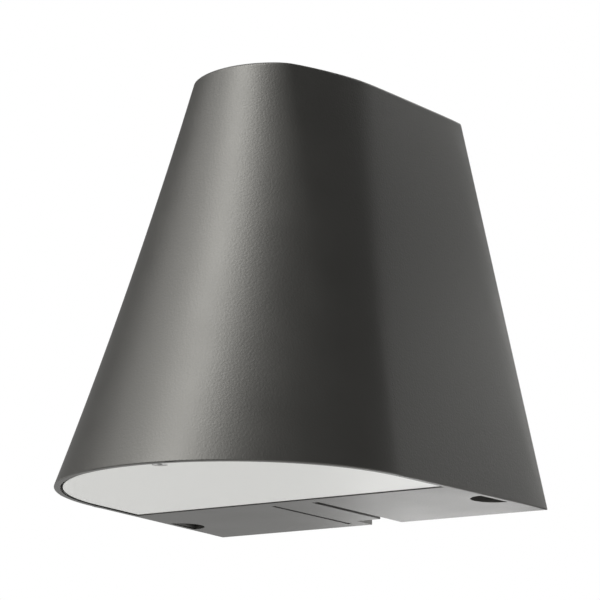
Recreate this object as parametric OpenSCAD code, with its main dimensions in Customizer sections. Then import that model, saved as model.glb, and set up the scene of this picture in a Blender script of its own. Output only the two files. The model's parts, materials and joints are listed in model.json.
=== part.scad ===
// Downward-lighting outdoor wall light.
// A die-cast D-shaped cone hangs on a folded wall bracket by two hooks and is clamped by two screws from below.
// The wall is the plane y = 0 and the light stands out from it towards -Y.
// The origin is the middle of the wall-screw pattern, on the wall.

/* [Cone] */
// Height of the housing
height = 180; // [165:1:200]
// Radius of the cone at its foot
base_radius = 79; // [75:0.5:86]
// Distance from the wall to the cone's axis at its foot
axis_distance = 100; // [94:1:108]
// Slope of the cone's side from its axis, in degrees
cone_taper = 12.7; // [11:0.1:13.5]
// Lean of the cone's axis towards the wall, in degrees
axis_lean = 6; // [4:0.5:7]
// Spread of the flat sides towards the wall, in degrees
side_spread = 5.3; // [4:0.1:7]
// Depth of the front's hollow half-way up
hollow = 4.6; // [3:0.1:6]
// Radius of the top edge
top_edge_r = 2; // [1:0.25:3]
// Gap between the housing's back edge and the wall
wall_gap = 0.5; // [0.3:0.1:1]

/* [Casting] */
// Thickness of the cone's wall
wall_t = 2.6; // [2.2:0.1:3]
// Thickness of the top
top_t = 3; // [2.5:0.1:4]
// Thickness of the rear shelf
shelf_t = 2.6; // [2:0.1:3.2]
// Depth of the rear shelf from the wall
shelf_depth = 74; // [68:1:78]
// Thickness of the partition behind the light chamber
partition_t = 2.5; // [2:0.1:3]
// Width of the ledge that the diffuser seals against
ledge_w = 4; // [3.6:0.1:4.6]
// Thickness of that ledge
ledge_t = 2.5; // [2:0.1:3]
// Thickness of the stiffening ribs
rib_t = 1.8; // [1.4:0.1:2.4]
// Reach of the stiffening ribs from the wall
rib_reach = 5; // [3:0.5:7]

/* [Break-out tab] */
// Half the distance between the two slots
tab_half = 10.7; // [9:0.1:13]
// Length of the slots from front to back
tab_length = 60; // [50:1:64]
// Width of the left slot
left_slot_w = 2; // [1.5:0.1:2.5]
// Width of the right slot
right_slot_w = 3.4; // [2.5:0.1:4]
// Distance of the left slot's back end from the wall
left_slot_back = 7; // [5:0.5:9]
// Width of the notch in the tab's back edge
notch_w = 14; // [10:0.5:16]
// Depth of the notch from the wall
notch_depth = 13; // [8:0.5:16]
// Depth of the break line across the tab
break_depth = 1.2; // [0.8:0.1:1.5]

/* [Screw pockets] */
// Radius of the half-round pocket beside each side wall
pocket_r = 10; // [9:0.5:11]
// Distance of the pocket's middle from the wall
pocket_y = 38; // [34:1:42]
// Distance of the fixing screw from the side wall's inner face
clamp_wall = 5.8; // [5.4:0.1:6.6]
// Diameter of the fixing screw's shank
clamp_d = 4; // [3:0.5:4]
// Diameter of the fixing screw's head
clamp_head_d = 7.6; // [6.5:0.1:8]
// Height of the fixing screw's head
clamp_head_h = 2.8; // [2.4:0.1:3.2]
// Diameter of the boss that takes the fixing screw
clamp_boss_d = 9; // [8:0.5:9.5]
// Clearance between the arm, the screw's head and the boss
clamp_gap = 0.35; // [0.3:0.01:0.5]

/* [Diffuser] */
// Thickness of the diffuser
diffuser_t = 3; // [2.5:0.1:4]
// How far the diffuser lies above the rim
diffuser_recess = 0.4; // [0:0.1:1]
// Gap round the diffuser
diffuser_gap = 0.8; // [0.4:0.1:1]
// Height of the diffuser's inner step
spigot_h = 3; // [2:0.1:4]
// Thickness of the gasket
gasket_t = 1.5; // [1:0.1:2]
// Sideways place of the diffuser's front screw
front_screw_x = 10; // [0:1:14]
// Distance of that screw from the housing's wall
front_screw_in = 5.2; // [5:0.1:6]
// Diameter of that screw's head
front_head_d = 5.8; // [5:0.1:6.2]
// Width of each rear tongue of the diffuser
tongue_w = 16; // [10:1:20]
// Sideways place of the rear tongues
tongue_x = 40; // [30:1:46]

/* [Light source] */
// Height of the gear tray above the rim
tray_z = 46; // [42:1:50]
// Thickness of the tray
tray_t = 2; // [1.5:0.1:2.2]
// Gap between the tray and the housing's wall
tray_gap = 5; // [4.5:0.1:6]
// Height of the tray's rear flange
flange_h = 32; // [30:1:36]
// Width of the tray's rear flange
flange_w = 68; // [60:1:80]
// Thickness of the reflector
reflector_t = 1.5; // [1.2:0.1:2]
// Width of the reflector's top flange
reflector_flange = 6; // [4:0.5:8]
// Thickness of the light source's board
board_t = 1.6; // [1:0.1:2]
// Thickness of the pad between board and tray
pad_t = 0.4; // [0.3:0.1:0.8]
// Distance between the light-emitting chips
chip_pitch = 16; // [14:0.5:17]
// Side of each chip
chip_w = 3.5; // [2.8:0.1:4]
// Height of each chip
chip_h = 0.8; // [0.6:0.1:1]

/* [Gear] */
// Length of the driver
driver_l = 84; // [70:1:86]
// Width of the driver
driver_w = 36; // [30:1:38]
// Height of the driver
driver_h = 26; // [20:1:30]
// Width of the terminal block
terminal_w = 36; // [34:1:44]
// Depth of the terminal block
terminal_d = 16; // [15:0.5:18]
// Height of the terminal block
terminal_h = 22; // [20:0.5:23]
// Length of the mounting ear at each end of the driver
driver_ear = 10; // [8:0.5:10]
// Distance between the poles
pole_pitch = 11; // [10:0.5:11.5]
// Diameter of the wires
wire_d = 1.8; // [1.4:0.1:2.2]

/* [Wall bracket] */
// Thickness of the bracket's sheet
sheet_t = 2; // [1.5:0.1:2.2]
// Thickness of the foam pad behind the bracket
foam_t = 1.5; // [1:0.1:2]
// Height of the wall screws above the rim
screw_height = 95; // [88:1:100]
// Distance between the wall screws
screw_spacing = 56; // [50:1:60]
// Diameter of the wall screws' slots
screw_slot_d = 5; // [4.5:0.1:5.5]
// Length of the wall screws' slots
screw_slot_l = 11; // [9:0.5:12]
// Width of the bracket's plate
plate_w = 84; // [80:1:88]
// Height of the plate's top above the rim
plate_top = 136; // [130:1:140]
// Height of the bracket's cross bar
bar_h = 20; // [14:1:24]
// Height of the foam pad
pad_h = 64; // [60:1:70]
// Width of each hanging hook
hook_w = 12; // [10:1:14]
// Sideways place of the hanging hooks
hook_x = 24; // [20:1:26]
// Distance of the hooks' round ends from the wall
hook_y = 40; // [36:1:44]
// Depth of the hooks' round ends below the housing's inner top
hook_drop = 5.5; // [5:0.1:7]
// Radius of the hooks' round ends
hook_r = 2.2; // [2:0.1:2.5]
// Reach of the slotted arms from the wall
arm_reach = 48; // [46:1:52]
// Width of the slotted arms
arm_w = 19; // [16:1:22]
// Diameter of the cable's bore in the grommet
cable_d = 10; // [7:0.5:12]
// Width of the grommet's rubber round the bore
grommet_w = 7; // [6:0.5:8]
// Reach of the grommet's nozzle in front of the bracket
nozzle_l = 8; // [6:0.5:10]

/* [Hidden] */
$fn = 64;

// Clearances between pieces
fit_gap = 0.3;
slip_gap = 0.4;
thread_gap = 0.05;
hole_gap = 0.2;

// Reaches that only have to pass clear of the solid
past = 40;
far = 300;
core = 20;
bands = 3;
band_lap = height / 25;
seam_depth = 0.02;
side_start = hollow / 2;
cut = 1;

// Heights above the rim
inner_top = height - top_t;
hook_z = inner_top - hook_drop;
diffuser_top = diffuser_recess + diffuser_t;
ledge_z = diffuser_top + gasket_t;
clamp_head_z = shelf_t + slip_gap;
arm_z = clamp_head_z + clamp_head_h + clamp_gap;
boss_z = arm_z + sheet_t + clamp_gap;
boss_l = 20;
tray_top = tray_z + tray_t;
partition_top = tray_top + 2;

// Depths from the wall, as y
shelf_y = -shelf_depth;
clamp_y = -pocket_y;
chamber_y = shelf_y - slip_gap;
driver_y = shelf_y - 22;
flange_y = shelf_y - slip_gap;
fold_y = flange_y - 2 * tray_t;
terminal_y = flange_y + terminal_d;
wire_y = flange_y + terminal_d / 2;
plate_front = -foam_t - sheet_t;

// Distances inward from the cone's outer face
ledge_inset = wall_t + ledge_w;
reflector_inset = ledge_inset + slip_gap;
window_inset = reflector_inset + reflector_t + reflector_flange;
spigot_inset = reflector_inset + reflector_t + 2 * slip_gap;
board_inset = window_inset + 1;

// Screws: shank and head
tray_screw_d = 4;
tray_head_d = 7;
tray_head_h = 2.6;
tray_boss_d = 9;
tray_boss_l = 22;
front_boss_d = 6.8;
front_boss_l = 10;
small_screw_d = 3;
small_head_d = 5.6;
small_head_h = 2;
front_head_sink = 1.6;
front_head_h = 1.4;
recess_share = 0.45;

// Radius of the cone at a length along its axis, a distance inside its outer face
function cone_r(s, inset) = base_radius - s * tan(cone_taper) - inset / cos(cone_taper);

// Length along the leaning axis, and distance behind it, of a point at depth y and height z
function along(y, z) = (y + axis_distance) * sin(axis_lean) + z * cos(axis_lean);
function behind(y, z) = (y + axis_distance) * cos(axis_lean) - z * sin(axis_lean);

// Half the width between the flat sides at depth y and height z
function side_x(y, z, inset) =
    (cone_r(along(y, z), inset) + behind(y, z) * sin(side_spread)) / cos(side_spread);

// Depth of the cone's front line at height z
function front_s(z, inset) =
    (z - cone_r(0, inset) * sin(axis_lean)) / (cos(axis_lean) - tan(cone_taper) * sin(axis_lean));
function front_y(z, inset) = -axis_distance
    - cone_r(front_s(z, inset), inset) * cos(axis_lean) + front_s(z, inset) * sin(axis_lean);

// Depth of the cone's axis at height z
function axis_y(z) = -axis_distance + z * tan(axis_lean);

// The front is hollow, so it is made of leaning cones one above the other, all held between the same flat sides.
// Each is found from its front line, whose ends lie on the hollow, and from the outward direction of the sides.
function hollow_y(z) = front_y(z, 0) + hollow * 4 * (z / height) * (1 - z / height);
sides_out = [
    -cos(cone_taper) * sin(side_spread) * cos(axis_lean) + sin(cone_taper) * sin(axis_lean),
    cos(cone_taper) * sin(side_spread) * sin(axis_lean) + sin(cone_taper) * cos(axis_lean)
];
function band_low(i) = height * i / bands;
function band_slope(i) = (hollow_y(band_low(i + 1)) - hollow_y(band_low(i))) * bands / height;
function band_taper(i) = atan(
    (sides_out[0] * sin(atan(band_slope(i))) + sides_out[1] * cos(atan(band_slope(i))))
    / (1 + sides_out[0] * cos(atan(band_slope(i))) - sides_out[1] * sin(atan(band_slope(i)))));
function band_lean(i) = atan(band_slope(i)) - band_taper(i);
function band_tip(i) =
    (base_radius * cos(cone_taper)
        - sides_out[0] * (hollow_y(band_low(i)) - band_slope(i) * band_low(i) + axis_distance))
    / (sides_out[0] * band_slope(i) + sides_out[1]);
function band_foot(i) =
    hollow_y(band_low(i)) + band_slope(i) * (band_tip(i) - band_low(i)) - band_tip(i) * tan(band_lean(i));
function band_radius(i) = band_tip(i) / cos(band_lean(i)) * tan(band_taper(i));

// Plan of the top: slope of the side lines, and the circle that touches them and the front line
side_slope = side_x(0, height, 0) - side_x(-1, height, 0);
plan_r = (side_x(0, height, 0) + side_slope * front_y(height, 0)) / (sqrt(1 + side_slope ^ 2) - side_slope);
plan_y = front_y(height, 0) + plan_r;

// Places
clamp_x = side_x(clamp_y, boss_z, wall_t) - clamp_wall;
front_screw_y = front_y(0, wall_t) + front_screw_in;
tray_boss_in = tray_gap + tray_boss_d / 2;
rear_boss_y = shelf_y - 12;
rear_boss = [side_x(rear_boss_y, tray_top, wall_t) - tray_boss_in, rear_boss_y, 0];
front_boss_r = cone_r(tray_top, wall_t) - tray_boss_in;
front_boss_angle = -50;
front_boss = [
    front_boss_r * cos(front_boss_angle),
    axis_y(tray_top) + front_boss_r * sin(front_boss_angle),
    front_boss_angle
];
tray_bosses = [rear_boss, front_boss];
chip_rows = [[0, 5], [1, 5], [2, 3]];
chip_front = 18;
lead_x = 1.5 * chip_pitch;
lead_y = driver_y + 8;
lead_z = tray_top + 12;
bend_r = 4;
terminal_z = tray_top + 6;
grommet_r = cable_d / 2 + grommet_w;
bar_z = arm_z + 2 * sheet_t;
earth_x = 26;
earth_z = 24;

// Everything is drawn with the rim at z = 0 and lowered so that the wall screws lie at the origin
module placed() {
    translate([0, 0, -screw_height]) children();
}

module both_sides() {
    for (side = [0, 1]) mirror([side, 0, 0]) children();
}

// Keeps what lies between two heights and two depths
module between(z0, z1, y0, y1) {
    intersection() {
        children();
        translate([-far / 2, y0, z0]) cube([far, y1 - y0, z1 - z0]);
    }
}

// Sweeps a profile, drawn as radius and height, all round the axis
module round_front(y, lean) {
    $inner = 0;
    translate([0, y, 0]) rotate([-lean, 0, 0]) rotate_extrude() children();
}

// Carries the same profile straight back along both sides
module straight_sides(y, lean, spread, start = 0) {
    $inner = -core;
    both_sides() translate([0, y, 0]) rotate([-lean, 0, 0]) rotate([0, 0, -spread])
        translate([0, start + far / 2, 0]) rotate([90, 0, 0]) linear_extrude(far / 2) children();
}

module cone_profile(radius, taper, inset) {
    polygon([
        [$inner, -past],
        [radius + past * tan(taper) - inset / cos(taper), -past],
        [radius - (height + past) * tan(taper) - inset / cos(taper), height + past],
        [$inner, height + past]
    ]);
}

// Profile that rounds the top edge and stays outside the cone below it
module top_profile() {
    steep = cone_taper + axis_lean + 3;
    u = plan_r + top_edge_r * (tan(cone_taper) - 1 / cos(cone_taper));
    z = height - top_edge_r;
    translate([u, z]) circle(top_edge_r);
    polygon([
        [$inner, height],
        [u, height],
        [u + top_edge_r * cos(steep), z + top_edge_r * sin(steep)],
        [u + top_edge_r * cos(steep) + far * sin(steep), z + top_edge_r * sin(steep) - far * cos(steep)],
        [$inner, z + top_edge_r * sin(steep) - far * cos(steep)]
    ]);
}

// The cone at a distance inside its outer face, between two heights and two depths.
// The round fronts lie a hair inside the flat sides, which take over half-way to the hollow's deepest tangent.
module cone_slab(inset, z0, z1, y0 = -far, y1 = cut) {
    for (i = [0 : bands - 1]) if (z1 > band_low(i) - band_lap && z0 < band_low(i + 1) + band_lap)
        between(z0, z1, y0, y1) round_front(band_foot(i), band_lean(i))
            cone_profile(band_radius(i), band_taper(i), inset + seam_depth);
    between(z0, z1, y0, y1) straight_sides(-axis_distance, axis_lean, side_spread, side_start)
        cone_profile(base_radius, cone_taper, inset);
}

// Casting features reach into the wall and no further
module inside_wall(z0, z1) {
    intersection() {
        cone_slab(wall_t / 2, z0, z1, -far, -wall_gap);
        children();
    }
}

module screw(d, length, head_d, head_h) {
    cylinder(d = d, h = length);
    difference() {
        translate([0, 0, -head_h]) cylinder(d = head_d, h = head_h);
        translate([0, 0, -head_h - cut]) cylinder(d = head_d * recess_share, h = head_h / 2 + cut, $fn = 6);
    }
}

module wire(length) {
    cylinder(d = wire_d, h = length);
}

module wire_bend(radius, angle) {
    rotate_extrude(angle = angle) translate([radius, 0]) circle(d = wire_d);
}

// Housing: shell, shelf, ledge, partition, bosses, hook seats and ribs
module shell() {
    difference() {
        intersection() {
            cone_slab(0, 0, height, -far, -wall_gap);
            union() {
                round_front(plan_y, 0) top_profile();
                straight_sides(plan_y, 0, atan(side_slope)) top_profile();
            }
        }
        cone_slab(wall_t, shelf_t, inner_top);
        cone_slab(wall_t, -cut, shelf_t + cut, -far, shelf_y);
    }
}

module ledge() {
    inside_wall(ledge_z, ledge_z + ledge_t) difference() {
        translate([-far / 2, -far, ledge_z]) cube([far, far + shelf_y + cut, ledge_t]);
        cone_slab(ledge_inset, ledge_z - cut, ledge_z + ledge_t + cut, -far, shelf_y - ledge_w);
    }
}

module partition() {
    inside_wall(0, partition_top)
        translate([-far / 2, shelf_y, 0]) cube([far, partition_t, partition_top]);
    both_sides() translate([tongue_x + tongue_w / 2 + 2, 0, 0]) rotate([90, 0, 90]) linear_extrude(rib_t) polygon([
        [shelf_y + cut, shelf_t / 2],
        [shelf_y + partition_t + 20, shelf_t / 2],
        [shelf_y + partition_t + 20, shelf_t + 1],
        [shelf_y + partition_t, partition_top - 8],
        [shelf_y + cut, partition_top - 8]
    ]);
}

// A boss on a web that reaches the wall; place holds its x and y and the direction of the web
module boss(place, z, d, length, web) {
    inside_wall(z, z + length) translate([place[0], place[1], z]) {
        cylinder(d = d, h = length);
        rotate([0, 0, place[2]]) translate([0, -rib_t / 2, 0]) cube([web, rib_t, length]);
    }
}

module front_screw_boss(z, d, length) {
    translate([front_screw_x, front_screw_y, z]) cylinder(d = d, h = length);
}

module hook_seats() {
    lip = 3.5;
    seat_w = hook_w + 2;
    seat_y = [-hook_y - hook_r - fit_gap - lip, -hook_y + 6];
    both_sides() translate([hook_x - seat_w / 2, 0, 0]) difference() {
        union() {
            translate([0, seat_y[0], hook_z]) cube([seat_w, seat_y[1] - seat_y[0], inner_top + cut - hook_z]);
            translate([0, seat_y[0], hook_z - hook_drop]) cube([seat_w, lip, hook_drop + cut]);
        }
        translate([-cut, -hook_y, hook_z]) rotate([0, 90, 0]) cylinder(r = hook_r + fit_gap, h = seat_w + 2 * cut);
    }
}

module front_ribs() {
    rib_z = tray_top + driver_h + 10;
    difference() {
        inside_wall(rib_z, inner_top + cut) for (x = [-24, 0, 24])
            translate([x - rib_t / 2, -far, rib_z]) cube([rib_t, far + axis_y(0), inner_top + cut - rib_z]);
        cone_slab(wall_t + rib_reach, rib_z - cut, inner_top);
    }
}

module tab_cuts() {
    front = -left_slot_back - tab_length;
    translate([-tab_half - left_slot_w / 2, front, -cut])
        cube([left_slot_w, tab_length, shelf_t + 2 * cut]);
    translate([tab_half - right_slot_w / 2, front, -cut])
        cube([right_slot_w, -front + cut, shelf_t + 2 * cut]);
    translate([tab_half - notch_w, -notch_depth, -cut]) cube([notch_w, notch_depth + cut, shelf_t + 2 * cut]);
    translate([-tab_half, front, shelf_t - break_depth]) cube([2 * tab_half, 1.5, break_depth + cut]);
}

module pocket_cut() {
    intersection() {
        cone_slab(wall_t, -cut, shelf_t + cut);
        translate([side_x(clamp_y, 0, wall_t), clamp_y, -cut]) cylinder(r = pocket_r, h = shelf_t + 2 * cut);
    }
}

module tongue_cut() {
    translate([tongue_x - tongue_w / 2 - slip_gap, shelf_y - ledge_w - cut, ledge_z - cut])
        cube([tongue_w + 2 * slip_gap, ledge_w + partition_t + 2 * cut, ledge_t + slip_gap + cut]);
}

module housing() {
    color("#4b4844") placed() difference() {
        union() {
            shell();
            ledge();
            partition();
            both_sides() boss([clamp_x, clamp_y, 0], boss_z, clamp_boss_d, boss_l, clamp_wall + wall_t);
            both_sides() for (place = tray_bosses)
                boss(place, tray_top, tray_boss_d, tray_boss_l, tray_boss_in + 2 * wall_t);
            inside_wall(ledge_z, ledge_z + front_boss_l) front_screw_boss(ledge_z, front_boss_d, front_boss_l);
            hook_seats();
            front_ribs();
        }
        tab_cuts();
        both_sides() {
            pocket_cut();
            tongue_cut();
            translate([clamp_x, clamp_y, boss_z - cut]) cylinder(d = clamp_d, h = boss_l - 4 + cut);
            for (place = tray_bosses)
                translate([place[0], place[1], tray_top - cut]) cylinder(d = tray_screw_d, h = 14 + cut);
        }
        front_screw_boss(ledge_z - cut, small_screw_d, front_boss_l - 2 + cut);
    }
}

// Diffuser: plate, inner step, two rear tongues and the recess of its front screw
module diffuser() {
    top = diffuser_top;
    tongue_z = ledge_z + fit_gap;
    tongue_t = ledge_z + ledge_t - tongue_z;
    color("#e4e5e3") placed() difference() {
        union() {
            cone_slab(wall_t + diffuser_gap, diffuser_recess, top, -far, shelf_y - diffuser_gap);
            cone_slab(spigot_inset, top - cut, top + spigot_h, -far, shelf_y - spigot_inset + wall_t);
            both_sides() intersection() {
                translate([tongue_x - tongue_w / 2, shelf_y - spigot_inset - 4, top - cut])
                    cube([tongue_w, spigot_inset + 4 + partition_t, tongue_z + tongue_t - top + cut]);
                union() {
                    translate([0, -far, tongue_z]) cube([far, far, tongue_t]);
                    translate([0, -far, top - cut]) cube([far, far + shelf_y - spigot_inset, far]);
                }
            }
        }
        front_screw_boss(diffuser_recess - cut, small_screw_d + 2 * hole_gap, diffuser_t + spigot_h + 2 * cut);
        front_screw_boss(diffuser_recess - cut, front_head_d + 2 * hole_gap, front_head_sink + cut);
        front_screw_boss(top, front_boss_d + 4 * slip_gap, spigot_h + cut);
    }
}

module diffuser_gasket() {
    z = diffuser_top;
    outer = wall_t + slip_gap;
    inner = ledge_inset - slip_gap;
    color("#2b2b2b") placed() difference() {
        cone_slab(outer, z, z + gasket_t, -far, shelf_y - slip_gap);
        cone_slab(inner, z - cut, z + gasket_t + cut, -far, shelf_y - ledge_w + slip_gap);
        front_screw_boss(z - cut, small_screw_d + 2 * slip_gap, gasket_t + 2 * cut);
    }
}

module diffuser_screw() {
    seat_z = front_head_sink + diffuser_recess;
    color("silver") placed() translate([front_screw_x, front_screw_y, seat_z])
        screw(small_screw_d - 2 * thread_gap, ledge_z + front_boss_l - 3 - seat_z, front_head_d, front_head_h);
}

// Reflector: D-shaped white liner with a flange round the board
module reflector() {
    bottom = ledge_z + slip_gap;
    back = shelf_y - ledge_w - slip_gap;
    flange = tray_z - reflector_t;
    color("white") placed() difference() {
        cone_slab(reflector_inset, bottom, tray_z, -far, back);
        cone_slab(reflector_inset + reflector_t, bottom - cut, flange, -far, back - reflector_t);
        cone_slab(window_inset, flange - cut, tray_z + cut, -far, back - reflector_t - reflector_flange);
        front_screw_boss(bottom - cut, front_boss_d + 4 * slip_gap, front_boss_l + cut);
        both_sides() translate([tongue_x - tongue_w / 2 - slip_gap, back - reflector_t - cut, bottom - cut])
            cube([tongue_w + 2 * slip_gap, reflector_t + 2 * cut, ledge_z + ledge_t + slip_gap - bottom + cut]);
        both_sides() for (place = tray_bosses)
            translate([place[0], place[1], tray_z - tray_head_h - cut])
                cylinder(d = tray_head_d + 2 * slip_gap, h = tray_head_h + 2 * cut);
    }
}

module board_plan(z, t) {
    back = shelf_y - ledge_w - slip_gap - reflector_t - reflector_flange - 1;
    difference() {
        cone_slab(board_inset, z, z + t, -far, back);
        both_sides() for (place = tray_bosses)
            translate([place[0], place[1], z - cut]) cylinder(d = tray_head_d + 2 * slip_gap, h = t + 2 * cut);
    }
}

module board_screw_places() {
    for (x = [-1.5, 1.5]) for (row = [0.5, 1.5])
        translate([x * chip_pitch, shelf_y - chip_front - row * chip_pitch, 0]) children();
}

module lead_places() {
    for (offset = [-1, 1]) translate([lead_x + offset * 1.25 * wire_d, lead_y, 0]) children();
}

module led_board() {
    z = tray_z - pad_t - board_t;
    color("white") placed() difference() {
        board_plan(z, board_t);
        board_screw_places() translate([0, 0, z - cut])
            cylinder(d = small_screw_d + 2 * hole_gap, h = board_t + 2 * cut);
        lead_places() translate([0, 0, z - cut]) cylinder(d = wire_d + 2 * thread_gap, h = board_t + 2 * cut);
    }
}

module thermal_pad() {
    z = tray_z - pad_t;
    color("#9aa0a6") placed() difference() {
        board_plan(z, pad_t);
        board_screw_places() translate([0, 0, z - cut]) cylinder(d = small_screw_d + 1, h = pad_t + 2 * cut);
        lead_places() translate([0, 0, z - cut]) cylinder(d = wire_d + 1, h = pad_t + 2 * cut);
    }
}

module led_chips() {
    z = tray_z - pad_t - board_t - chip_h;
    color("#f4e48a") placed() for (row = chip_rows) for (column = [0 : row[1] - 1])
        translate([(column - (row[1] - 1) / 2) * chip_pitch - chip_w / 2,
            shelf_y - chip_front - row[0] * chip_pitch - chip_w / 2, z]) cube([chip_w, chip_w, chip_h]);
}

module board_screws() {
    z = tray_z - pad_t - board_t;
    color("silver") placed() board_screw_places() translate([0, 0, z])
        screw(small_screw_d - 2 * thread_gap, pad_t + board_t + tray_t, small_head_d, small_head_h);
}

// Gear tray: D-shaped plate with a folded rear flange
module gear_tray() {
    flange_screw_z = terminal_z + terminal_h / 2;
    color("#c9ccce") placed() difference() {
        union() {
            cone_slab(wall_t + tray_gap, tray_z, tray_top, -far, fold_y);
            rotate([90, 0, 90]) translate([0, 0, -flange_w / 2]) linear_extrude(flange_w) tray_fold();
        }
        both_sides() for (place = tray_bosses)
            translate([place[0], place[1], tray_z - cut])
                cylinder(d = tray_screw_d + 2 * hole_gap, h = tray_t + 2 * cut);
        board_screw_places() translate([0, 0, tray_z - cut]) cylinder(d = small_screw_d, h = tray_t + 2 * cut);
        translate([lead_x, lead_y, tray_z - cut]) cylinder(d = 5 * wire_d, h = tray_t + 2 * cut);
        both_sides() translate([driver_l / 2 + driver_ear / 2, driver_y - driver_w / 2, tray_z - cut])
            cylinder(d = small_screw_d, h = tray_t + 2 * cut);
        both_sides() translate([pole_pitch / 2, flange_y + cut, flange_screw_z]) rotate([90, 0, 0])
            cylinder(d = small_screw_d, h = tray_t + 2 * cut);
    }
}

// Section of the tray's fold: plate, bend and flange, drawn as depth and height
module tray_fold() {
    translate([fold_y - tray_t, tray_z]) square(tray_t);
    translate([fold_y, tray_z + 2 * tray_t]) intersection() {
        difference() {
            circle(2 * tray_t);
            circle(tray_t);
        }
        translate([0, -2 * tray_t]) square(2 * tray_t);
    }
    translate([flange_y - tray_t, tray_z + 2 * tray_t]) square([tray_t, flange_h]);
}

module tray_screws() {
    color("silver") placed() both_sides() for (place = tray_bosses)
        translate([place[0], place[1], tray_z])
            screw(tray_screw_d - 2 * thread_gap, tray_t + 12, tray_head_d, tray_head_h);
}

// Driver: base with an ear at each end, and a rounded cover
module rounded_box(size, r) {
    translate([r, 0, 0]) cube([size[0] - 2 * r, size[1], size[2]]);
    translate([0, r, 0]) cube([size[0], size[1] - 2 * r, size[2]]);
    for (x = [r, size[0] - r]) for (y = [r, size[1] - r]) translate([x, y, 0]) cylinder(r = r, h = size[2]);
}

module driver_base() {
    base_h = 4;
    color("#d8d8d4") placed() translate([0, driver_y - driver_w / 2, tray_top]) difference() {
        union() {
            translate([-driver_l / 2, -driver_w / 2, 0]) rounded_box([driver_l, driver_w, base_h], 3);
            translate([-driver_l / 2 - driver_ear, -driver_ear / 2, 0])
                rounded_box([driver_l + 2 * driver_ear, driver_ear, 2], 3);
        }
        both_sides() translate([driver_l / 2 + driver_ear / 2, 0, -cut])
            cylinder(d = small_screw_d + 2 * hole_gap, h = 2 + 2 * cut);
    }
}

module driver_cover() {
    base_h = 4;
    rim = 1;
    color("#ecece8") placed() translate([-driver_l / 2, driver_y - driver_w, tray_top + base_h]) {
        translate([rim, rim, 0]) rounded_box([driver_l - 2 * rim, driver_w - 2 * rim, driver_h - base_h - 2], 3);
        translate([2 * rim, 2 * rim, driver_h - base_h - 2])
            rounded_box([driver_l - 4 * rim, driver_w - 4 * rim, 2], 3);
    }
}

module driver_screws() {
    color("silver") placed() both_sides()
        translate([driver_l / 2 + driver_ear / 2, driver_y - driver_w / 2, tray_top + 2]) rotate([180, 0, 0])
            screw(small_screw_d - 2 * thread_gap, 2 + tray_t, small_head_d, small_head_h);
}

// Terminal block: three poles with wire entries above and below and clamp screws facing the wall
module poles() {
    for (pole = [-1, 0, 1]) translate([pole * pole_pitch, 0, 0]) children();
}

module terminal_block() {
    entry_d = wire_d + 1.6;
    color("#f0f0ec") placed() difference() {
        translate([-terminal_w / 2, flange_y, terminal_z]) cube([terminal_w, terminal_d, terminal_h]);
        poles() for (z = [terminal_z - cut, terminal_z + terminal_h - 8])
            translate([0, wire_y, z]) cylinder(d = entry_d, h = 8 + cut);
        poles() for (z = [terminal_z + 5, terminal_z + terminal_h - 5])
            translate([0, terminal_y + cut, z]) rotate([90, 0, 0]) cylinder(d = 4.4, h = 5 + cut);
        both_sides() {
            translate([pole_pitch / 2, terminal_y + cut, terminal_z + terminal_h / 2]) rotate([90, 0, 0])
                cylinder(d = small_head_d + 2 * hole_gap, h = terminal_d - 5 + cut);
            translate([pole_pitch / 2, terminal_y + cut, terminal_z + terminal_h / 2]) rotate([90, 0, 0])
                cylinder(d = small_screw_d + 2 * hole_gap, h = terminal_d + 2 * cut);
            for (end = [-cut, terminal_h - 5])
                translate([pole_pitch / 2 - 0.6, terminal_y - 4, terminal_z + end]) cube([1.2, 4 + cut, 5 + cut]);
        }
    }
}

module clamp_screws() {
    color("#c8a14a") placed() poles() for (z = [terminal_z + 5, terminal_z + terminal_h - 5])
        translate([0, terminal_y - 1, z]) rotate([90, 0, 0]) difference() {
            cylinder(d = 4.2, h = 4);
            translate([-2.5, -0.4, -cut]) cube([5, 0.8, 1 + cut]);
        }
}

module terminal_screws() {
    color("silver") placed() both_sides()
        translate([pole_pitch / 2, flange_y + 5, terminal_z + terminal_h / 2]) rotate([90, 0, 0])
            screw(small_screw_d - 2 * thread_gap, 5 + tray_t, small_head_d, small_head_h);
}

// Leads from the driver up over the tray's flange and down into the terminals
module input_leads() {
    rise_y = driver_y + bend_r + 2;
    arch_r = (wire_y - rise_y) / 2;
    arch_z = tray_z + 2 * tray_t + flange_h + 4;
    start_z = lead_z + 2;
    color("#3a5f9a") placed() poles() {
        translate([0, driver_y - 1, start_z]) rotate([-90, 0, 0]) wire(3);
        translate([0, rise_y - bend_r, start_z + bend_r]) rotate([90, 0, 90]) rotate([0, 0, -90])
            wire_bend(bend_r, 90);
        translate([0, rise_y, start_z + bend_r]) wire(arch_z - start_z - bend_r);
        translate([0, rise_y + arch_r, arch_z]) rotate([90, 0, 90]) wire_bend(arch_r, 180);
        translate([0, wire_y, terminal_z + terminal_h - 7]) wire(arch_z - terminal_z - terminal_h + 7);
    }
}

// Leads from the driver down through the tray to the board
module output_leads() {
    end_z = tray_z - pad_t - board_t - 0.5;
    color("#a03030") placed() lead_places() {
        translate([0, driver_y - 1 - lead_y, lead_z]) rotate([-90, 0, 0]) wire(lead_y - driver_y + 1 - bend_r);
        translate([0, -bend_r, lead_z - bend_r]) rotate([90, 0, 90]) wire_bend(bend_r, 90);
        translate([0, 0, end_z]) wire(lead_z - bend_r - end_z);
    }
}

// Fixing screws: from below, through the open slots of the bracket's arms, into the housing's bosses
module fixing_screw() {
    translate([clamp_x, clamp_y, clamp_head_z + clamp_head_h])
        screw(clamp_d - 2 * thread_gap, boss_z + 12 - clamp_head_z - clamp_head_h, clamp_head_d, clamp_head_h);
}

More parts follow.
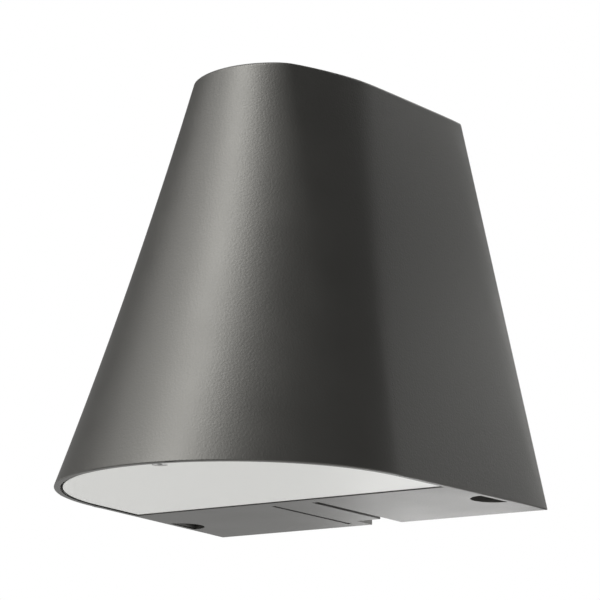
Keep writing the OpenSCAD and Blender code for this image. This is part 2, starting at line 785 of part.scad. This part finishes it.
module fixing_screw_left() {
    color("#8c8c8c") placed() mirror([1, 0, 0]) fixing_screw();
}

module fixing_screw_right() {
    color("#8c8c8c") placed() fixing_screw();
}

// Wall bracket: plate, hooks, cross bar and slotted arms
module rounded_plate(w, z0, z1, r) {
    translate([-w / 2 + r, z0]) square([w - 2 * r, z1 - z0]);
    translate([-w / 2, z0 + r]) square([w, z1 - z0 - 2 * r]);
    for (x = [-w / 2 + r, w / 2 - r]) for (z = [z0 + r, z1 - r]) translate([x, z]) circle(r);
}

module slots() {
    for (side = [-1, 1]) translate([side * screw_spacing / 2, screw_height]) {
        reach = (screw_slot_l - screw_slot_d) / 2;
        for (end = [-reach, reach]) translate([end, 0]) circle(d = screw_slot_d);
        translate([-reach, -screw_slot_d / 2]) square([2 * reach, screw_slot_d]);
    }
}

// Stands a drawing of width and height up against the wall
module on_wall(back, t) {
    translate([0, back, 0]) rotate([90, 0, 0]) linear_extrude(t) children();
}

// Section of a hook: a foot on the plate and a strip that leans forward to a round end, as depth and height
module hook_section() {
    half = sheet_t / 2;
    bend_y = plate_front - half;
    bend_z = plate_top - 4;
    lean = atan2(hook_z - bend_z, -hook_y - bend_y);
    reach = norm([hook_z - bend_z, hook_y + bend_y]);
    translate([-hook_y, hook_z]) circle(hook_r);
    translate([bend_y, bend_z]) rotate(lean) translate([0, -half]) square([reach, sheet_t]);
    translate([bend_y, bend_z]) circle(half);
    translate([plate_front - sheet_t, bend_z - hook_w]) square([sheet_t, hook_w]);
}

// Section of an arm: a leg on the cross bar, a bend and the arm, drawn as depth and height
module arm_section() {
    bend = sheet_t;
    leg_y = plate_front - sheet_t;
    translate([-arm_reach, arm_z]) square([arm_reach + leg_y - bend, sheet_t]);
    translate([leg_y - bend, arm_z + sheet_t + bend]) intersection() {
        difference() {
            circle(bend + sheet_t);
            circle(bend);
        }
        translate([0, -bend - sheet_t]) square(bend + sheet_t);
    }
    translate([leg_y, arm_z + sheet_t + bend]) square([sheet_t, bar_z + bar_h - arm_z - 2 * sheet_t - bend]);
}

module wall_bracket() {
    color("#b9bcbe") placed() {
        on_wall(-foam_t, sheet_t) difference() {
            rounded_plate(plate_w, bar_z, plate_top, 6);
            slots();
            translate([0, screw_height]) circle(grommet_r);
            translate([earth_x, screw_height - earth_z]) circle(d = tray_screw_d);
        }
        both_sides() intersection() {
            cone_slab(wall_t + 2 * slip_gap, 0, height, -far, -foam_t);
            translate([plate_w / 2 - 6, plate_front, bar_z]) cube([far, sheet_t, bar_h]);
        }
    }
}

module hanging_hooks() {
    color("#c4c7c9") placed() both_sides() translate([hook_x - hook_w / 2, 0, 0]) rotate([90, 0, 90])
        linear_extrude(hook_w) hook_section();
}

module clamp_arms() {
    slot_d = clamp_d + 3 * hole_gap;
    arm_x = side_x(clamp_y, arm_z, wall_t) - arm_w;
    color("#c4c7c9") placed() both_sides() difference() {
        intersection() {
            cone_slab(wall_t + 2 * slip_gap, 0, height, -far, 0);
            translate([arm_x, 0, 0]) rotate([90, 0, 90]) linear_extrude(arm_w) arm_section();
        }
        translate([clamp_x, clamp_y, arm_z - cut]) {
            cylinder(d = slot_d, h = sheet_t + 2 * cut);
            translate([-slot_d / 2, -far, 0]) cube([slot_d, far, sheet_t + 2 * cut]);
        }
    }
}

module wall_pad() {
    color("#333333") placed() on_wall(0, foam_t) difference() {
        rounded_plate(plate_w, screw_height - pad_h / 2, screw_height + pad_h / 2, 6);
        slots();
        translate([0, screw_height]) circle(grommet_r + 3);
        translate([earth_x, screw_height - earth_z]) circle(d = tray_head_d + 2);
    }
}

// Grommet: two flanges either side of the plate and a nozzle towards the light
module cable_grommet() {
    bore = cable_d / 2;
    lip = grommet_r + 2;
    front = foam_t + sheet_t;
    color("#262626") placed() translate([0, 0, screw_height]) rotate([90, 0, 0]) rotate_extrude() polygon([
        [bore, fit_gap],
        [lip, fit_gap],
        [lip, foam_t],
        [grommet_r - thread_gap, foam_t],
        [grommet_r - thread_gap, front],
        [lip, front],
        [lip - 1, front + 1.5],
        [bore + 3, front + 2.5],
        [bore + 1.5, front + nozzle_l],
        [bore, front + nozzle_l]
    ]);
}

module earth_screw() {
    washer_t = 0.8;
    color("#c8a14a") placed() translate([earth_x, plate_front - washer_t, screw_height - earth_z])
        rotate([-90, 0, 0]) screw(tray_screw_d - 2 * thread_gap, washer_t + sheet_t, tray_head_d, tray_head_h);
}

module earth_washer() {
    teeth = 12;
    color("silver") placed() translate([earth_x, plate_front, screw_height - earth_z]) rotate([90, 0, 0])
        difference() {
            cylinder(d = tray_head_d + 2, h = 0.8);
            translate([0, 0, -cut]) cylinder(d = tray_screw_d + 2 * hole_gap, h = 0.8 + 2 * cut);
            for (tooth = [0 : teeth - 1]) rotate([0, 0, tooth * 360 / teeth])
                translate([tray_head_d / 2, -0.3, -cut]) cube([2, 0.6, 0.8 + 2 * cut]);
        }
}

housing();
diffuser();
diffuser_gasket();
diffuser_screw();
reflector();
led_board();
led_chips();
thermal_pad();
board_screws();
gear_tray();
tray_screws();
driver_base();
driver_cover();
driver_screws();
terminal_block();
clamp_screws();
terminal_screws();
input_leads();
output_leads();
fixing_screw_left();
fixing_screw_right();
wall_bracket();
hanging_hooks();
clamp_arms();
wall_pad();
cable_grommet();
earth_screw();
earth_washer();
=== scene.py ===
# %% [markdown]
# # A downward wall light in powder-coated aluminium
# The light is a D-shaped cone of die-cast aluminium that hangs on a folded bracket. The solids already
# say where every piece is, so this lesson loads them, gives the casting its finished surface, and then
# builds one material for each kind of stuff.

# %% Load the fixed frame
import bpy
import bmesh
import json
import math
import numpy as np
from mathutils import Matrix, Vector


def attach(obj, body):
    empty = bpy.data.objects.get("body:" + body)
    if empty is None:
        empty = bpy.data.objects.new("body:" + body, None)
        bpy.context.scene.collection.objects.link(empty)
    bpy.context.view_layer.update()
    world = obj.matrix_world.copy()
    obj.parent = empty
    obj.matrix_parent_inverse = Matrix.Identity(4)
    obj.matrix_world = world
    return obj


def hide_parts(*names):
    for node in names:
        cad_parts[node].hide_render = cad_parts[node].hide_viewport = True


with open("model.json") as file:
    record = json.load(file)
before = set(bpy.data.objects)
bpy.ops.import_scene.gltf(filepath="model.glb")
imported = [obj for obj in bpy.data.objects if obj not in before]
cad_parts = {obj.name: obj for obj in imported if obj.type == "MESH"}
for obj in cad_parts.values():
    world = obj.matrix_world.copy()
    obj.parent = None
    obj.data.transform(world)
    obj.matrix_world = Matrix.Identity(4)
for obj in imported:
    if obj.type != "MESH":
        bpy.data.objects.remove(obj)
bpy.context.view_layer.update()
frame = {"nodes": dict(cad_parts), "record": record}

nodes = frame["nodes"]

# %% [markdown]
# ## The measurements of the cone
# The casting is a cone that leans back towards the wall, with flat sides that run on from it. These few
# numbers are the ones that the solids were built from, in metres and with heights above the rim. The front
# is very slightly hollow between rim and top, which a straight-sided cone can't show: HOLLOW is how deep
# that is half-way up. The solids make it with three straight cones and 4.6 mm, so the two differ a little.

# %% Measurements
HEIGHT = 0.180
RIM_Z = -0.095
BASE_RADIUS = 0.079
AXIS_Y = -0.100
TAPER = math.tan(math.radians(12.7))
TAPER_COS = math.cos(math.radians(12.7))
LEAN = math.radians(6.0)
SPREAD = math.radians(5.3)
WALL = 0.0026
HOLLOW = 0.00466


def leaning(points):
    """Coordinates in the cone's own frame: x, distance behind the axis and length along it. The point is
    taken from the foot of the axis and turned by the lean."""
    x, y, z = points[:, 0], points[:, 1] - AXIS_Y, points[:, 2] - RIM_Z
    return x, y * math.cos(LEAN) - z * math.sin(LEAN), y * math.sin(LEAN) + z * math.cos(LEAN)


def hollow_shift(points):
    """How far back the hollow moves each point: HOLLOW times 4 t (1 - t), t being the height as a share of
    the whole, times the cosine of the angle from straight ahead, and nothing behind the axis."""
    x, behind, _ = leaning(points)
    t = np.clip((points[:, 2] - RIM_Z) / HEIGHT, 0.0, 1.0)
    ahead = np.clip(-behind / np.maximum(np.hypot(x, behind), 1e-6), 0.0, 1.0)
    return HOLLOW * 4.0 * t * (1.0 - t) * ahead


def hollowed(points, sign=1.0):
    """The points moved back by the hollow, or forward again with sign -1."""
    moved = points.copy()
    moved[:, 1] += sign * hollow_shift(points)
    return moved


print("hollow half-way up, mm:", HOLLOW * 1000)

# %% [markdown]
# Seen closely, the sides aren't quite flat either. Towards the top they curve in to the round front, so the
# shoulder between front and side is soft. That is a large arc from the wall forwards, and the surface is
# the inner one of the arc and the straight cone, with the crease between them smoothed.

# %% The soft shoulder
ARC_SLOPE = math.tan(math.radians(-6.2))
SHOULDER_TOP = 0.0024
SHOULDER_RIM = -0.0026
CREASE = 0.0015


def shoulder_shift(points):
    """How far in the sides come: h = (g + sqrt(g^2 + CREASE^2)) / 2, where g is the straight cone's
    half-width less the arc's, shared out across the width. The arc is the rear half-width, less ARC_SLOPE
    times the distance d from the wall, less c d^2. Where the flat side starts it lies inside the cone by
    SHOULDER_RIM at the rim and SHOULDER_TOP at the top, and c follows from that."""
    x, behind, along = leaning(hollowed(points, -1.0))
    t = np.clip((points[:, 2] - RIM_Z) / HEIGHT, 0.0, 1.0)
    radius = BASE_RADIUS - along * TAPER
    from_wall = -points[:, 1]
    flat = radius / math.cos(SPREAD) + behind * math.tan(SPREAD)
    start = -radius * math.sin(SPREAD)
    width = np.where(behind > start, flat, np.sqrt(np.maximum(radius ** 2 - behind ** 2, 1e-12)))
    span = behind + from_wall - start
    inside = SHOULDER_RIM + (SHOULDER_TOP - SHOULDER_RIM) * t
    bend = (inside + span * (math.tan(SPREAD) - ARC_SLOPE)) / span ** 2
    rear = radius / math.cos(SPREAD) + (behind + from_wall) * math.tan(SPREAD)
    gap = width - (rear - from_wall * ARC_SLOPE - bend * from_wall ** 2)
    share = np.minimum(np.abs(x) / np.maximum(width, 1e-6), 1.0)
    return np.sign(x) * share * (gap + np.sqrt(gap ** 2 + CREASE ** 2)) / 2.0


def eased(points, sign=1.0):
    """The points brought in by the soft shoulder, or out again with sign -1."""
    moved = points.copy()
    moved[:, 0] -= sign * shoulder_shift(points)
    return moved


probe = np.array([[0.045, -0.080, 0.080], [0.080, -0.080, -0.090]])
print("shoulder shift near the top and near the rim, mm:", np.round(shoulder_shift(probe) * 1000, 2))

# %% [markdown]
# ## The casting
# A finished die casting shows no facets, its edges are rounded by the coat, and its front is a true
# curve. The exact solid gives all the ribs, bosses, slots and pockets inside, so its mesh is copied and
# merged, cut into narrow strips by planes, and then every vertex of the skin is put on the true cone by
# numpy before the hollow is added. Modelling the skin alone would be simpler, but the back of the light is
# open and the inside of the casting is in full view there.

# %% Helpers for mesh arrays


def positions(mesh):
    """All vertex positions of a mesh as one array."""
    co = np.empty(len(mesh.vertices) * 3)
    mesh.vertices.foreach_get("co", co)
    return co.reshape(-1, 3)


def put_positions(mesh, co):
    """Writes an array of positions back into the mesh."""
    mesh.vertices.foreach_set("co", co.astype(np.float32).ravel())
    mesh.update()


def depth_inside(points):
    """Distance of each point inside the cone's outer face. In front of the tangent lines it is measured to
    the round cone, and behind them to the flat side; each is the radius there minus the point's own."""
    x, behind, along = leaning(points)
    radius = BASE_RADIUS - along * TAPER
    across = np.abs(x)
    side = across * math.cos(SPREAD) - behind * math.sin(SPREAD)
    past_tangent = behind * math.cos(SPREAD) + across * math.sin(SPREAD) > 0.0
    return (radius - np.where(past_tangent, side, np.hypot(x, behind))) * TAPER_COS, past_tangent


def onto_depth(points, depth, chosen):
    """The chosen points moved level until they lie at that depth: along the radius on the round front, and
    square to the flat side behind it. The step is the wanted depth less the present one."""
    x, behind, _ = leaning(points)
    now, past_tangent = depth_inside(points)
    step = np.where(chosen, (depth - now) / TAPER_COS, 0.0)
    radius = np.maximum(np.hypot(x, behind), 1e-6)
    moved = points.copy()
    moved[:, 0] -= step * np.where(past_tangent, np.sign(x) * math.cos(SPREAD), x / radius)
    moved[:, 1] -= step * np.where(past_tangent, -math.sin(SPREAD), behind / radius)
    return moved


# %% Copy the casting and cut it into strips
RIM_R = 0.0006
EDGE_STEPS = RIM_R * (1.0 - np.cos(np.radians(np.arange(15.0, 91.0, 15.0))))
STRIP_HEIGHT = 0.006
LAST_STRIP = 0.178
STRIP_ANGLE = 3.0
WELD = 1e-6


def strips(bm, heights, angles):
    """Cuts the mesh level at each height, by planes through the cone's axis at each angle from straight
    ahead, and upright at each step in from the rear edge."""
    axis = Vector((0.0, math.sin(LEAN), math.cos(LEAN)))
    ahead = Vector((0.0, -math.cos(LEAN), math.sin(LEAN)))
    cuts = [(Vector((0.0, 0.0, RIM_Z + z)), Vector((0.0, 0.0, 1.0))) for z in heights]
    foot = Vector((0.0, AXIS_Y, RIM_Z))
    cuts += [(foot, Matrix.Rotation(math.radians(a), 3, axis) @ ahead) for a in angles]
    cuts += [(Vector((0.0, -step, 0.0)), Vector((0.0, 1.0, 0.0))) for step in EDGE_STEPS]
    for where, normal in cuts:
        everything = bm.verts[:] + bm.edges[:] + bm.faces[:]
        bmesh.ops.bisect_plane(bm, geom=everything, dist=2.0 * WELD, plane_co=where, plane_no=normal)


bm = bmesh.new()
bm.from_mesh(nodes["housing"].data)
bmesh.ops.remove_doubles(bm, verts=bm.verts, dist=WELD)
even_heights = np.arange(STRIP_HEIGHT, LAST_STRIP, STRIP_HEIGHT)
strips(bm, np.concatenate([EDGE_STEPS, even_heights]), np.arange(-90.0, 90.0, STRIP_ANGLE))
mesh = bpy.data.meshes.new("casting")
bm.to_mesh(mesh)
bm.free()
co = positions(mesh)
print("casting vertices after the cuts:", len(co))

# %% [markdown]
# The skin is found face by face: its depth inside the straight cone, once the hollow is taken out, is about
# nothing for the outer face and one wall for the inner, and it faces straight out or straight in. Its
# corners are then put exactly on their cones. The rim's outer edge is rounded with them: a point at height
# z in the rounding, of radius r, lies r - sqrt(r^2 - (r - z)^2) in.

# %% The true normal of the skin
SLOPE_STEP = 2e-5


def skin_slope(points, straighten):
    """The way the depth falls fastest: minus its gradient, by central differences, made one long. The second
    argument is the function that takes points back to the straight cone."""
    slope = np.zeros_like(points)
    for axis in range(3):
        near, far = points.copy(), points.copy()
        near[:, axis] -= SLOPE_STEP
        far[:, axis] += SLOPE_STEP
        slope[:, axis] = depth_inside(straighten(near))[0] - depth_inside(straighten(far))[0]
    return slope / np.linalg.norm(slope, axis=1, keepdims=True)


def skin_normals(points):
    """Unit normals of the skin: its slope, turned down round the rim and back round the rear edge, by the
    share (r - distance from the edge) / r of each."""
    slope = skin_slope(points, lambda p: hollowed(eased(p, -1.0), -1.0))
    for distance, way in ((points[:, 2] - RIM_Z, (0.0, 0.0, -1.0)), (-points[:, 1], (0.0, 1.0, 0.0))):
        turn = np.clip((RIM_R - distance) / RIM_R, 0.0, 1.0)[:, None]
        slope = slope * np.sqrt(1.0 - turn ** 2) + turn * np.array(way)
    return slope


# %% Find the faces of the skin
SKIN_FACING = 0.93
SKIN_OFFSET = 0.0003
SKIN_BAND = 0.0011
TOP_EDGE = 0.0022

face_count, corner_count = len(mesh.polygons), len(mesh.loops)
corner_vertex = np.empty(corner_count, dtype=np.int32)
mesh.loops.foreach_get("vertex_index", corner_vertex)
face_of_corner = np.repeat(np.arange(face_count), [len(face.vertices) for face in mesh.polygons])
face_normals, centres = np.empty(face_count * 3), np.empty(face_count * 3)
mesh.polygons.foreach_get("normal", face_normals)
mesh.polygons.foreach_get("center", centres)
face_normals, centres = face_normals.reshape(-1, 3), centres.reshape(-1, 3)
face_depth = depth_inside(hollowed(centres, -1.0))[0]
facing = np.einsum("ij,ij->i", face_normals, skin_slope(centres, lambda p: hollowed(p, -1.0)))
below_top = centres[:, 2] - RIM_Z < HEIGHT - TOP_EDGE
near_outside = np.abs(face_depth - SKIN_OFFSET) < SKIN_BAND
near_inside = np.abs(face_depth - WALL - SKIN_OFFSET) < SKIN_BAND
outer_face = (facing > SKIN_FACING) & near_outside & below_top
inner_face = (facing < -SKIN_FACING) & near_inside & below_top
outer, inner = np.zeros(len(co), dtype=bool), np.zeros(len(co), dtype=bool)
outer[corner_vertex[outer_face[face_of_corner]]] = True
inner[corner_vertex[inner_face[face_of_corner]]] = True
print("skin faces outside and inside:", int(outer_face.sum()), int(inner_face.sum()), "of", face_count)

# %% Put the skin on the true cone


def edge_rounding(distance):
    """How far in the rounded edge lies at a distance from the edge: r - sqrt(r^2 - (r - distance)^2)."""
    return RIM_R - np.sqrt(np.maximum(RIM_R ** 2 - np.clip(RIM_R - distance, 0.0, RIM_R) ** 2, 0.0))


rounded = np.maximum(edge_rounding(co[:, 2] - RIM_Z), edge_rounding(-co[:, 1]))
true = onto_depth(hollowed(co, -1.0), rounded, outer)
true = onto_depth(true, WALL, inner & ~outer)
co = eased(np.where((outer | inner)[:, None], hollowed(true), co))
put_positions(mesh, co)
print("skin vertices outside and inside:", int(outer.sum()), int(inner.sum()), "of", len(co))

# %% [markdown]
# Long thin triangles shade in streaks when their corners share averaged normals. The true normal of the
# skin is known, so each corner of a skin face is given it. All other faces keep the normals that their
# sharp edges give.

# %% Give the skin its true normals
SHARP_ANGLE = math.radians(28.0)

mesh.polygons.foreach_set("use_smooth", np.ones(face_count, dtype=bool))
mesh.set_sharp_from_angle(angle=SHARP_ANGLE)
corner_normals = np.empty(corner_count * 3)
mesh.corner_normals.foreach_get("vector", corner_normals)
corner_normals = corner_normals.reshape(-1, 3)
true_normals = skin_normals(co)[corner_vertex]
on_outer, on_inner = outer_face[face_of_corner], inner_face[face_of_corner]
corner_normals[on_outer] = true_normals[on_outer]
corner_normals[on_inner] = -true_normals[on_inner]
mesh.normals_split_custom_set(corner_normals.tolist())

casting = bpy.data.objects.new("casting", mesh)
bpy.context.scene.collection.objects.link(casting)
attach(casting, "head")
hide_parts("housing")

# %% [markdown]
# ## Materials
# Every finish here is a Principled shader with its own noise for texture. The numbers that are the same all
# over go straight on the shader's sockets; only colour, roughness and bump come from nodes, and they read
# Object coordinates, so the pattern stays on its piece in every view.

# %% Helpers for materials
SOFT_SCALE = 45.0
SOFT_DETAIL = 4.0
FINE_DETAIL = 3.0
ROUGH_SPREAD = 0.04
LEAST_ROUGH = 0.02
BUMP_STRENGTH = 0.6


def noise(tree, where, scale, detail):
    """The value of a noise texture in the given coordinates."""
    texture = tree.nodes.new("ShaderNodeTexNoise")
    texture.inputs["Scale"].default_value = scale
    texture.inputs["Detail"].default_value = detail
    tree.links.new(where, texture.inputs["Vector"])
    return texture.outputs["Fac"]


def finish_of(name, colour, roughness=0.5, metallic=0.0, grain=(600.0, 0.02), mottling=0.05):
    """A Principled material. Soft noise varies its colour, by the mottling as a share, and its roughness.
    Fine noise raises its bump: grain is that noise's scale and its height in millimetres."""
    mat = bpy.data.materials.new(name)
    mat.use_nodes = True
    tree = mat.node_tree
    bsdf = tree.nodes["Principled BSDF"]
    bsdf.inputs["Metallic"].default_value = metallic
    where = tree.nodes.new("ShaderNodeTexCoord").outputs["Object"]
    soft = noise(tree, where, SOFT_SCALE, SOFT_DETAIL)
    ramp = tree.nodes.new("ShaderNodeValToRGB")
    ramp.color_ramp.elements[0].color = [c * (1.0 - mottling) for c in colour] + [1.0]
    ramp.color_ramp.elements[1].color = [min(c * (1.0 + mottling), 1.0) for c in colour] + [1.0]
    tree.links.new(soft, ramp.inputs["Fac"])
    tree.links.new(ramp.outputs["Color"], bsdf.inputs["Base Color"])
    rough = tree.nodes.new("ShaderNodeMapRange")
    rough.inputs["To Min"].default_value = max(roughness - ROUGH_SPREAD, LEAST_ROUGH)
    rough.inputs["To Max"].default_value = roughness + ROUGH_SPREAD
    tree.links.new(soft, rough.inputs["Value"])
    tree.links.new(rough.outputs["Result"], bsdf.inputs["Roughness"])
    bump = tree.nodes.new("ShaderNodeBump")
    bump.inputs["Strength"].default_value = BUMP_STRENGTH
    bump.inputs["Distance"].default_value = grain[1] / 1000.0
    tree.links.new(noise(tree, where, grain[0], FINE_DETAIL), bump.inputs["Height"])
    tree.links.new(bump.outputs["Normal"], bsdf.inputs["Normal"])
    return mat


def coat(piece, mat):
    """Puts one material on the whole of a piece."""
    piece.data.materials.clear()
    piece.data.materials.append(mat)


# %% Finishes of the light
powder = finish_of("graphite powder coat", (0.105, 0.103, 0.096), 0.48, 0.78, grain=(1100.0, 0.12))
frosted = finish_of("frosted diffuser", (0.81, 0.81, 0.79), 0.5, grain=(900.0, 0.01), mottling=0.01)
rubber = finish_of("black gasket foam", (0.018, 0.018, 0.018), 0.8, grain=(1200.0, 0.05))
steel = finish_of("stainless screw", (0.55, 0.55, 0.54), 0.3, 1.0, grain=(900.0, 0.004))
white_metal = finish_of("white reflector paint", (0.82, 0.82, 0.80), 0.45, mottling=0.02)
board = finish_of("white solder mask", (0.78, 0.79, 0.78), 0.35, mottling=0.02)
phosphor = finish_of("chip phosphor", (0.80, 0.62, 0.16), 0.4)
paste = finish_of("grey thermal pad", (0.32, 0.34, 0.36), 0.7)
zinc = finish_of("zinc-plated sheet", (0.28, 0.29, 0.30), 0.46, 0.85, grain=(350.0, 0.01), mottling=0.1)
driver = finish_of("driver moulding", (0.72, 0.72, 0.68), 0.5)
terminal = finish_of("terminal moulding", (0.76, 0.76, 0.72), 0.4)
brass = finish_of("brass", (0.62, 0.45, 0.16), 0.3, 1.0, grain=(500.0, 0.006))
blue = finish_of("blue wire insulation", (0.03, 0.10, 0.36), 0.4)
red = finish_of("red wire insulation", (0.36, 0.03, 0.02), 0.4)
foam = finish_of("black foam pad", (0.022, 0.022, 0.023), 0.9, grain=(1500.0, 0.12))
grommet = finish_of("black rubber grommet", (0.016, 0.016, 0.016), 0.55)

finishes = {
    "housing": powder, "diffuser": frosted, "gasket": rubber, "screw": steel, "white_metal": white_metal,
    "board": board, "chip": phosphor, "thermal_pad": paste, "tray": zinc, "driver": driver,
    "terminal": terminal, "brass": brass, "wire_blue": blue, "wire_red": red, "bracket": zinc,
    "foam": foam, "grommet": grommet,
}
coat(casting, powder)
slots = {entry["node"]: entry["material_slot"] for entry in frame["record"]["subparts"]}
for name, piece in nodes.items():
    if name != "housing":
        coat(piece, finishes[slots[name]])
print("finishes on nodes:", len(slots))

# %% [markdown]
# ## Camera, room and light
# The camera stands to the right of the light and a little below it, looking up, as the photograph's does.
# The room is a pale floor and a sky. Camera and transmitted rays see the sky white. Glossy rays see it
# white near the horizon and dark overhead, so the coat stays dark where it mirrors the ceiling. Two tall
# soft lamps in front and to the left draw the bright band down the cone. Two smaller ones stand behind the
# light, and a small low one, also behind it, lights the shelf.

# %% Camera
CAMERA_PLACE = Vector((0.57940, -0.91018, -0.25255))
CAMERA_TURN = [math.radians(angle) for angle in (34.41209, 13.55291, 0.69169)]
SENSOR_WIDTH = 36.0
FOCAL_LENGTH = 146.11088
CLIP_START, CLIP_END = 0.05, 20.0


def camera_matrix(place, yaw, pitch, roll):
    """The camera's matrix: it looks along yaw (to the left of straight back) and pitch (up), then rolls."""
    forward = Vector((-math.sin(yaw) * math.cos(pitch), math.cos(yaw) * math.cos(pitch), math.sin(pitch)))
    right = Vector((math.cos(yaw), math.sin(yaw), 0.0))
    up = right.cross(forward)
    turned = right * math.cos(roll) + up * math.sin(roll)
    raised = up * math.cos(roll) - right * math.sin(roll)
    turn = Matrix((turned, raised, -forward)).transposed().to_4x4()
    return Matrix.Translation(place) @ turn


lens = bpy.data.cameras.new("camera")
lens.sensor_width = SENSOR_WIDTH
lens.lens = FOCAL_LENGTH
lens.clip_start, lens.clip_end = CLIP_START, CLIP_END
camera = bpy.data.objects.new("camera", lens)
bpy.context.scene.collection.objects.link(camera)
camera.matrix_world = camera_matrix(CAMERA_PLACE, *CAMERA_TURN)
bpy.context.scene.camera = camera
bpy.context.scene.view_settings.view_transform = "Standard"

# %% Sky
AMBIENT = 0.15
CEILING = 0.09
CEILING_FROM = 0.45


def join(tree, operation, first, second):
    """The output of a Math node that joins a socket with another socket, or with a number."""
    node = tree.nodes.new("ShaderNodeMath")
    node.operation = operation
    tree.links.new(first, node.inputs[0])
    if isinstance(second, float):
        node.inputs[1].default_value = second
    else:
        tree.links.new(second, node.inputs[1])
    return node.outputs["Value"]


world = bpy.data.worlds.new("room")
bpy.context.scene.world = world
world.use_nodes = True
sky = world.node_tree
sky_background = sky.nodes["Background"]
sky_background.inputs["Color"].default_value = (1.0, 1.0, 1.0, 1.0)
rays = sky.nodes.new("ShaderNodeLightPath").outputs
way = sky.nodes.new("ShaderNodeTexCoord")
way_xyz = sky.nodes.new("ShaderNodeSeparateXYZ")
sky.links.new(way.outputs["Generated"], way_xyz.inputs["Vector"])
ceiling = sky.nodes.new("ShaderNodeMapRange")
ceiling.interpolation_type = "SMOOTHSTEP"
ceiling.inputs["From Min"].default_value = 0.0
ceiling.inputs["From Max"].default_value = CEILING_FROM
ceiling.inputs["To Min"].default_value = 1.0
ceiling.inputs["To Max"].default_value = CEILING
sky.links.new(way_xyz.outputs["Z"], ceiling.inputs["Value"])
mirrored = join(sky, "MULTIPLY", rays["Is Glossy Ray"], ceiling.outputs["Result"])
direct = join(sky, "MAXIMUM", rays["Is Camera Ray"], rays["Is Transmission Ray"])
seen = join(sky, "MAXIMUM", direct, mirrored)
lit = join(sky, "MULTIPLY", rays["Is Diffuse Ray"], AMBIENT)
sky.links.new(join(sky, "ADD", seen, lit), sky_background.inputs["Strength"])
print("sky nodes:", len(sky.nodes))

# %% [markdown]
# For camera and glossy rays an even glow is mixed into the floor, by the share FLOOR_SHINE, so it stays
# pale from every side. The rest is the pale finish, which keeps the shadow. Diffuse rays don't meet the glow.

# %% Floor
FLOOR_Z = -0.42
FLOOR_HALF = 4.0
FLOOR_SHINE = 0.7

corners = [(x * FLOOR_HALF, y * FLOOR_HALF, FLOOR_Z) for x, y in ((-1, -1), (1, -1), (1, 1), (-1, 1))]
floor_mesh = bpy.data.meshes.new("floor")
floor_mesh.from_pydata(corners, [], [(0, 1, 2, 3)])
floor = bpy.data.objects.new("floor", floor_mesh)
bpy.context.scene.collection.objects.link(floor)
pale = finish_of("pale floor", (0.86, 0.86, 0.85), 0.9, grain=(60.0, 0.05), mottling=0.01)
tree = pale.node_tree
rays = tree.nodes.new("ShaderNodeLightPath").outputs
shown = join(tree, "MAXIMUM", rays["Is Camera Ray"], rays["Is Glossy Ray"])
glow = tree.nodes.new("ShaderNodeEmission")
blend = tree.nodes.new("ShaderNodeMixShader")
tree.links.new(join(tree, "MULTIPLY", shown, FLOOR_SHINE), blend.inputs[0])
tree.links.new(tree.nodes["Principled BSDF"].outputs[0], blend.inputs[1])
tree.links.new(glow.outputs[0], blend.inputs[2])
tree.links.new(blend.outputs[0], tree.nodes["Material Output"].inputs["Surface"])
coat(floor, pale)
print("floor height, metres:", FLOOR_Z)

# %% Lamps
LAMP_TARGET = Vector((0.0, -0.09, 0.0))


def soft_lamp(name, azimuth, elevation, distance, size, power):
    """A rectangular lamp that looks at the light from an azimuth (0 is straight ahead, 90 its right side)."""
    data = bpy.data.lights.new(name, "AREA")
    data.shape = "RECTANGLE"
    data.size, data.size_y = size
    data.energy = power
    lamp = bpy.data.objects.new(name, data)
    bpy.context.scene.collection.objects.link(lamp)
    a, e = math.radians(azimuth), math.radians(elevation)
    away = Vector((math.sin(a) * math.cos(e), -math.cos(a) * math.cos(e), math.sin(e)))
    lamp.location = LAMP_TARGET + away * distance
    lamp.rotation_euler = (-away).to_track_quat("-Z", "Y").to_euler()


soft_lamp("front lamp", -18, 48, 1.4, (0.35, 1.4), 20.5)
soft_lamp("left lamp", -60, 48, 1.4, (0.40, 1.4), 5.8)
soft_lamp("rear lamp", 180, 30, 0.45, (0.30, 0.40), 0.80)
soft_lamp("wall lamp", 175, 0, 0.40, (0.30, 0.30), 0.73)
soft_lamp("shelf lamp", -163, -26, 0.35, (0.10, 0.10), 0.085)
print("lamps and camera are in place")
